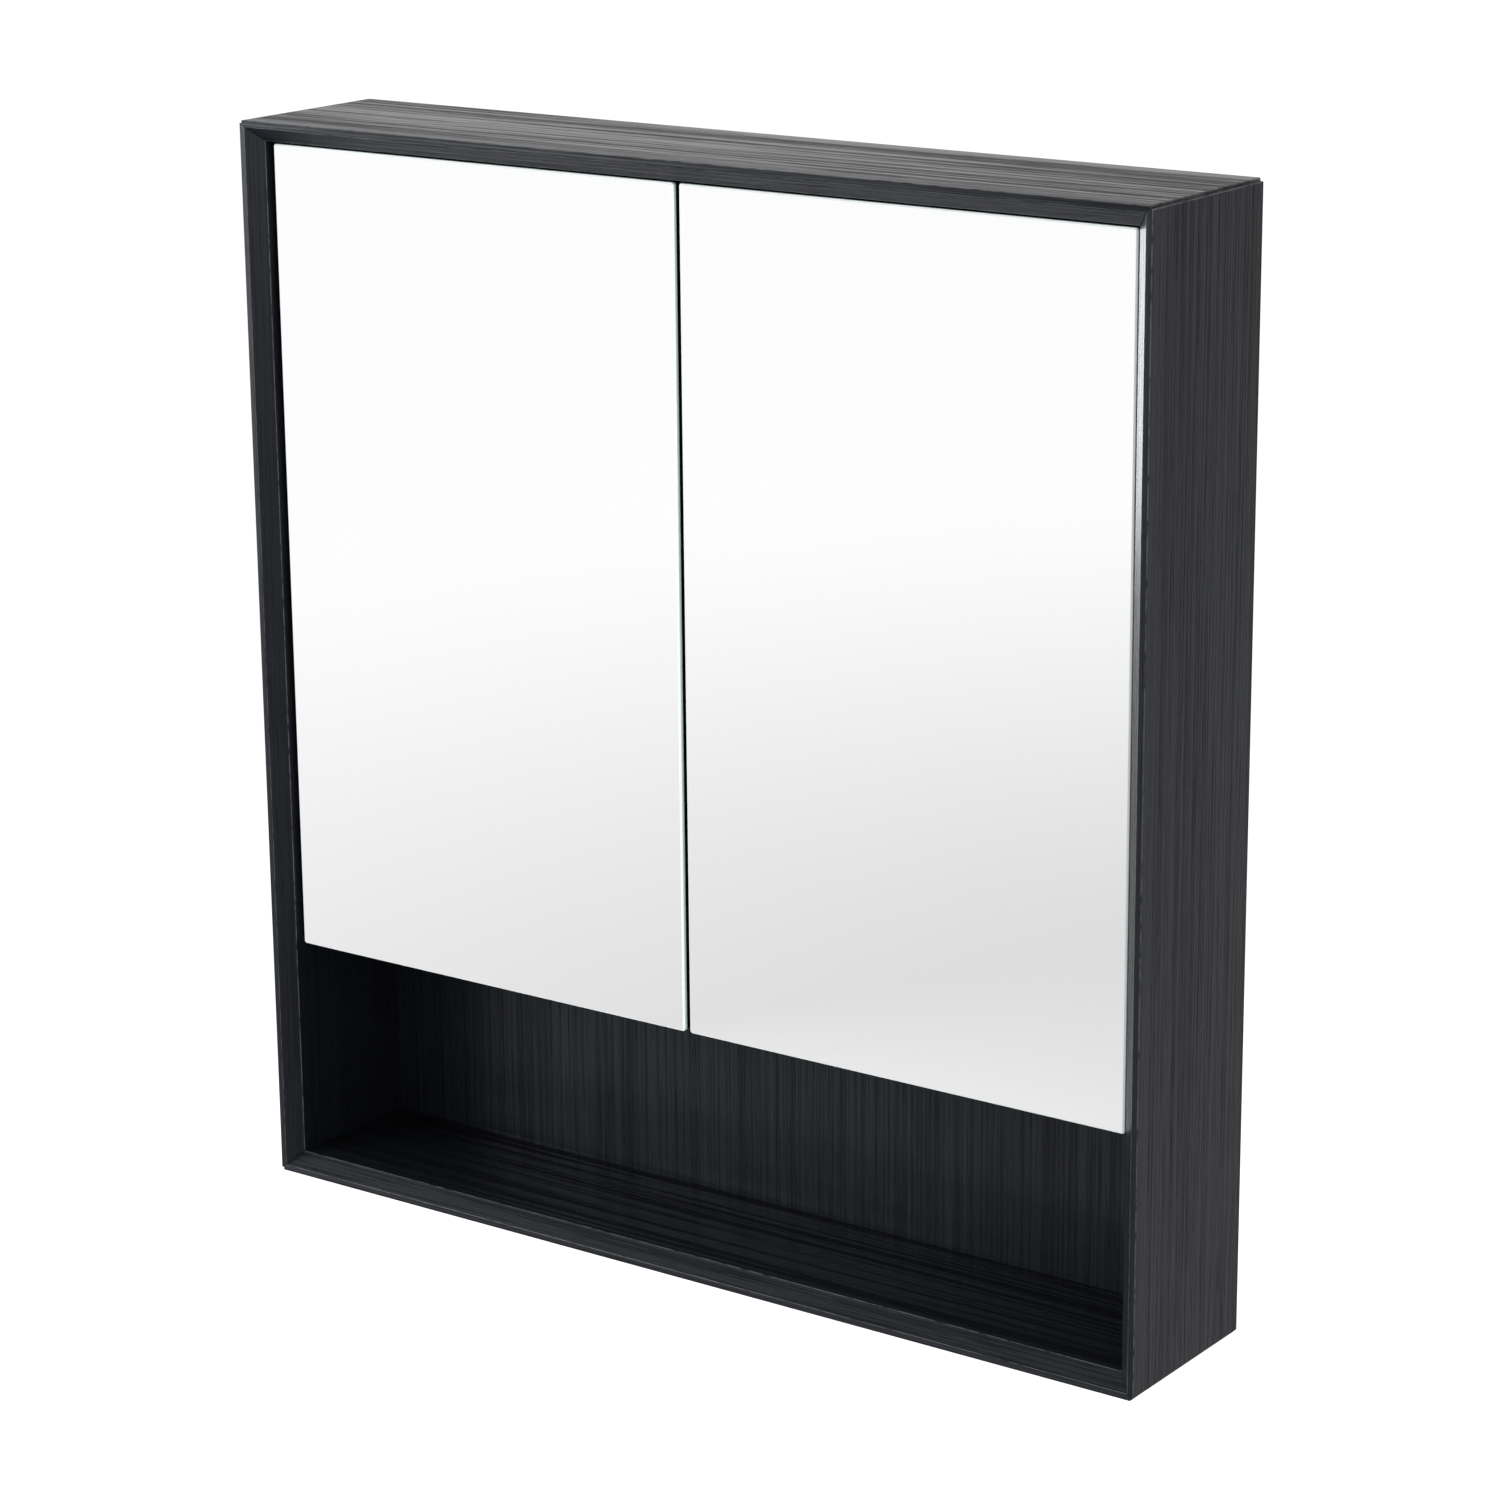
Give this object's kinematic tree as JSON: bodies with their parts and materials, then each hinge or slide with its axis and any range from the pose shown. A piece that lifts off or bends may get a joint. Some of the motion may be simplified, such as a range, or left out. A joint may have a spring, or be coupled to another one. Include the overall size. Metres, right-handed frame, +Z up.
{
  "type": "medicine cabinet with mirror",
  "caption": "Wall-hung bathroom cabinet in bevelled black ash with two frameless mirror doors on concealed hinges, glass shelves inside and an open niche below.",
  "frame": {"origin": "on the wall plane, in the middle of the four wall screw holes that the cabinet hangs from", "axes": "+X to the right as seen from the room, +Y towards the wall, +Z up; the mirrors face -Y"},
  "size_m": [0.8, 0.148, 0.85],
  "materials": {
    "black_ash_veneer": "black-stained open-pored ash veneer, matt lacquer",
    "black_ash_solid": "black-stained solid ash, matt lacquer",
    "mirror": "silvered float glass with a polished arris",
    "clear_glass": "toughened clear float glass with polished edges",
    "raw_beech": "unfinished beech and plywood",
    "nickel_steel": "nickel-plated pressed steel",
    "zinc_steel": "zinc-plated steel",
    "black_plastic": "moulded, fine texture",
    "clear_silicone": "translucent soft silicone"
  },
  "bodies": {
    "cabinet": {"back_panel": "black_ash_veneer", "bottom_lipping": "black_ash_solid", "bottom_panel": "black_ash_veneer", "centre_partition": "black_ash_veneer", "fixed_shelf": "black_ash_veneer", "left_hanger_housing": "black_plastic", "left_hanger_screws": "nickel_steel", "left_hanging_hook": "zinc_steel", "left_hinge_arm_screws": "nickel_steel", "left_hinge_arms": "nickel_steel", "left_hinge_plate_screws": "nickel_steel", "left_hinge_plates": "nickel_steel", "left_hook_screws": "nickel_steel", "left_lower_glass_shelf": "clear_glass", "left_shelf_dowels": "raw_beech", "left_shelf_supports": "nickel_steel", "left_side_lipping": "black_ash_solid", "left_side_panel": "black_ash_veneer", "left_upper_glass_shelf": "clear_glass", "left_wall_plate": "zinc_steel", "mitre_splines": "raw_beech", "partition_dowels": "raw_beech", "right_hanger_housing": "black_plastic", "right_hanger_screws": "nickel_steel", "right_hanging_hook": "zinc_steel", "right_hinge_arm_screws": "nickel_steel", "right_hinge_arms": "nickel_steel", "right_hinge_plate_screws": "nickel_steel", "right_hinge_plates": "nickel_steel", "right_hook_screws": "nickel_steel", "right_lower_glass_shelf": "clear_glass", "right_shelf_dowels": "raw_beech", "right_shelf_supports": "nickel_steel", "right_side_lipping": "black_ash_solid", "right_side_panel": "black_ash_veneer", "right_upper_glass_shelf": "clear_glass", "right_wall_plate": "zinc_steel", "top_lipping": "black_ash_solid", "top_panel": "black_ash_veneer"},
    "left_door": {"left_door_board": "black_ash_veneer", "left_door_bumpers": "clear_silicone", "left_hinge_cup_screws": "nickel_steel", "left_hinge_cups": "nickel_steel", "left_hinge_pins": "nickel_steel", "left_mirror": "mirror"},
    "right_door": {"right_door_board": "black_ash_veneer", "right_door_bumpers": "clear_silicone", "right_hinge_cup_screws": "nickel_steel", "right_hinge_cups": "nickel_steel", "right_hinge_pins": "nickel_steel", "right_mirror": "mirror"}
  },
  "joints": [
    {"name": "left_door_swing", "type": "hinge", "parent": "cabinet", "child": "left_door", "pos_m": [-0.35901, -0.121, 0], "axis": [0, 0, -1], "range_deg": [0, 95]},
    {"name": "right_door_swing", "type": "hinge", "parent": "cabinet", "child": "right_door", "pos_m": [0.35901, -0.121, 0], "axis": [0, 0, 1], "range_deg": [0, 95]}
  ]
}
